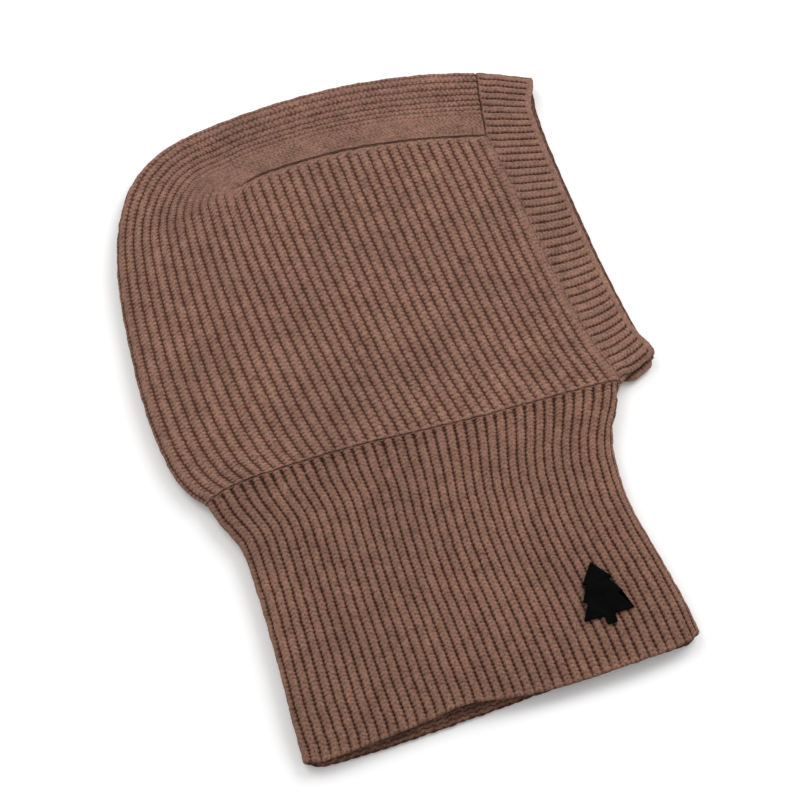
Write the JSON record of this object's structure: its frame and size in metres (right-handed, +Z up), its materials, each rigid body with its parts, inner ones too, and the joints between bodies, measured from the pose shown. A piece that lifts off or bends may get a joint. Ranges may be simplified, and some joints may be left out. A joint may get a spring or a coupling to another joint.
{
  "type": "knitted balaclava hood",
  "caption": "Rib-knit balaclava hood lying flat on its side, with a flared neck, a ribbed face band, a seamed crown strip and a small plain tree badge.",
  "frame": {"origin": "centre of the bounding box at the surface the hood lies on", "axes": "+Y from the neck hem to the crown, +X towards the face opening, +Z up through the two flat layers; the wearer's left side is underneath"},
  "size_m": [0.276, 0.3882, 0.015],
  "materials": {
    "hood_knit": "matte fisherman's rib in mocha brown wool blend",
    "neck_knit": "matte one-by-one rib in mocha brown wool blend",
    "band_knit": "matte fine rib in mocha brown wool blend",
    "seam_yarn": "matte plied linking yarn in the knit's colour",
    "badge_black": "soft matte black",
    "pin_steel": "brushed steel",
    "label_tape": "woven satin tape in off-white, with no print",
    "label_thread": "matte sewing thread in brown"
  },
  "bodies": {
    "hood": {"hood_panel": "hood_knit", "face_band": "band_knit", "neck_tube": "neck_knit", "neck_seam": "seam_yarn", "face_band_seam": "seam_yarn", "crown_seam_right": "seam_yarn", "crown_seam_left": "seam_yarn", "neck_front_seam": "seam_yarn", "face_band_join": "seam_yarn", "badge_plate": "badge_black", "badge_posts": "pin_steel", "badge_washers": "pin_steel", "care_label_edge": "label_tape", "care_label_stitches": "label_thread", "size_label": "label_tape", "size_label_stitches": "label_thread"},
    "care_label": {"care_label_flap": "label_tape"}
  },
  "joints": [
    {"name": "care_label_lift", "type": "hinge", "parent": "hood", "child": "care_label", "pos_m": [-0.092, -0.16, 0.00335], "axis": [0, -1, 0], "range_deg": [0, 7.5]}
  ]
}
